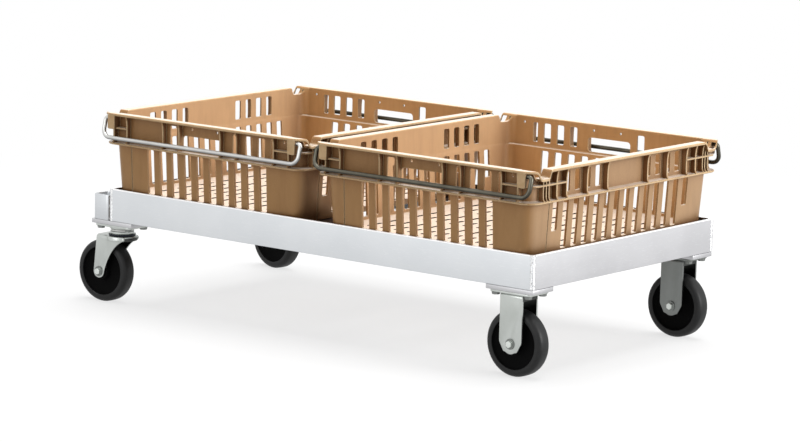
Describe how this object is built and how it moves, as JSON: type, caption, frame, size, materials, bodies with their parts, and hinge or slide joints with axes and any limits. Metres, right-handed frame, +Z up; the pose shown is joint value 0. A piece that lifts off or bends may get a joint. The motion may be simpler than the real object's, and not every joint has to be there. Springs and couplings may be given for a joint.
{
  "type": "tray dolly",
  "caption": "Wheeled dolly of lipped aluminium channel carrying slotted plastic trays with wire bails, fixed casters at one end and swivel casters at the other.",
  "frame": {"origin": "on the floor, under the middle of the whole dolly's box", "axes": "+X along the length towards the fixed casters, +Y across the width towards the back, +Z up"},
  "size_m": [1.1482, 0.6262, 0.3874],
  "materials": {
    "aluminium": "mill finish, cool pale grey",
    "zinc": "bright zinc plate",
    "wheel_rubber": "black, satin",
    "bail_steel": "drawn wire, satin",
    "tray_plastic": "moulded, tan, satin"
  },
  "bodies": {
    "frame": {"rail_front": "aluminium", "rail_back": "aluminium", "rail_left_end": "aluminium", "rail_right_end": "aluminium", "handle_socket_front": "aluminium", "handle_socket_back": "aluminium", "corner_pad_front_left": "aluminium", "corner_pad_back_left": "aluminium", "corner_pad_front_right": "aluminium", "corner_pad_back_right": "aluminium", "plate_bolt_front_left_1": "zinc", "plate_bolt_front_left_2": "zinc", "plate_bolt_front_left_3": "zinc", "plate_bolt_front_left_4": "zinc", "plate_bolt_back_left_1": "zinc", "plate_bolt_back_left_2": "zinc", "plate_bolt_back_left_3": "zinc", "plate_bolt_back_left_4": "zinc", "plate_bolt_front_right_1": "zinc", "plate_bolt_front_right_2": "zinc", "plate_bolt_front_right_3": "zinc", "plate_bolt_front_right_4": "zinc", "plate_bolt_back_right_1": "zinc", "plate_bolt_back_right_2": "zinc", "plate_bolt_back_right_3": "zinc", "plate_bolt_back_right_4": "zinc", "caster_plate_front_left": "zinc", "caster_plate_back_left": "zinc", "ball_ring_front_left": "zinc", "ball_ring_back_left": "zinc", "kingpin_front_left": "zinc", "kingpin_back_left": "zinc", "fork_front_right": "zinc", "fork_back_right": "zinc", "bush_front_right": "zinc", "bush_back_right": "zinc", "axle_bolt_front_right": "zinc", "axle_bolt_back_right": "zinc", "axle_nut_front_right": "zinc", "axle_nut_back_right": "zinc"},
    "swivel_front_left": {"lower_race_front_left": "zinc", "fork_front_left": "zinc", "bush_front_left": "zinc", "axle_bolt_front_left": "zinc", "axle_nut_front_left": "zinc"},
    "swivel_back_left": {"lower_race_back_left": "zinc", "fork_back_left": "zinc", "bush_back_left": "zinc", "axle_bolt_back_left": "zinc", "axle_nut_back_left": "zinc"},
    "roller_front_left": {"wheel_front_left": "wheel_rubber"},
    "roller_back_left": {"wheel_back_left": "wheel_rubber"},
    "roller_front_right": {"wheel_front_right": "wheel_rubber"},
    "roller_back_right": {"wheel_back_right": "wheel_rubber"},
    "left_tray": {"tray_left": "tray_plastic"},
    "right_tray": {"tray_right": "tray_plastic"},
    "left_front_bail": {"bail_left_front": "bail_steel"},
    "left_back_bail": {"bail_left_back": "bail_steel"},
    "right_front_bail": {"bail_right_front": "bail_steel"},
    "right_back_bail": {"bail_right_back": "bail_steel"}
  },
  "joints": [
    {"name": "swivel_turn_front_left", "type": "hinge", "parent": "frame", "child": "swivel_front_left", "pos_m": [-0.47139, -0.2535, 0.14], "axis": [0, 0, 1], "continuous": true},
    {"name": "swivel_turn_back_left", "type": "hinge", "parent": "frame", "child": "swivel_back_left", "pos_m": [-0.47139, 0.2615, 0.14], "axis": [0, 0, 1], "continuous": true},
    {"name": "wheel_roll_front_left", "type": "hinge", "parent": "swivel_front_left", "child": "roller_front_left", "pos_m": [-0.51135, -0.25538, 0.0625], "axis": [-0.0471, 0.9989, 0], "continuous": true},
    {"name": "wheel_roll_back_left", "type": "hinge", "parent": "swivel_back_left", "child": "roller_back_left", "pos_m": [-0.511, 0.26707, 0.0625], "axis": [0.1392, 0.9903, 0], "continuous": true},
    {"name": "wheel_roll_front_right", "type": "hinge", "parent": "frame", "child": "roller_front_right", "pos_m": [0.51111, -0.2535, 0.0625], "axis": [0, 1, 0], "continuous": true},
    {"name": "wheel_roll_back_right", "type": "hinge", "parent": "frame", "child": "roller_back_right", "pos_m": [0.51111, 0.2615, 0.0625], "axis": [0, 1, 0], "continuous": true},
    {"name": "tray_lift_left", "type": "slide", "parent": "frame", "child": "left_tray", "axis": [0, 0, 1], "range_m": [0, 0.15]},
    {"name": "tray_lift_right", "type": "slide", "parent": "frame", "child": "right_tray", "axis": [0, 0, 1], "range_m": [0, 0.15]},
    {"name": "bail_swing_left_front", "type": "hinge", "parent": "left_tray", "child": "left_front_bail", "pos_m": [-0.22639, -0.2975, 0.3776], "axis": [-1, 0, 0], "range_deg": [0, 257]},
    {"name": "bail_swing_left_back", "type": "hinge", "parent": "left_tray", "child": "left_back_bail", "pos_m": [-0.22639, 0.2995, 0.3776], "axis": [1, 0, 0], "range_deg": [0, 257]},
    {"name": "bail_swing_right_front", "type": "hinge", "parent": "right_tray", "child": "right_front_bail", "pos_m": [0.31561, -0.2995, 0.3776], "axis": [-1, 0, 0], "range_deg": [0, 257]},
    {"name": "bail_swing_right_back", "type": "hinge", "parent": "right_tray", "child": "right_back_bail", "pos_m": [0.31561, 0.2975, 0.3776], "axis": [1, 0, 0], "range_deg": [0, 257]}
  ]
}
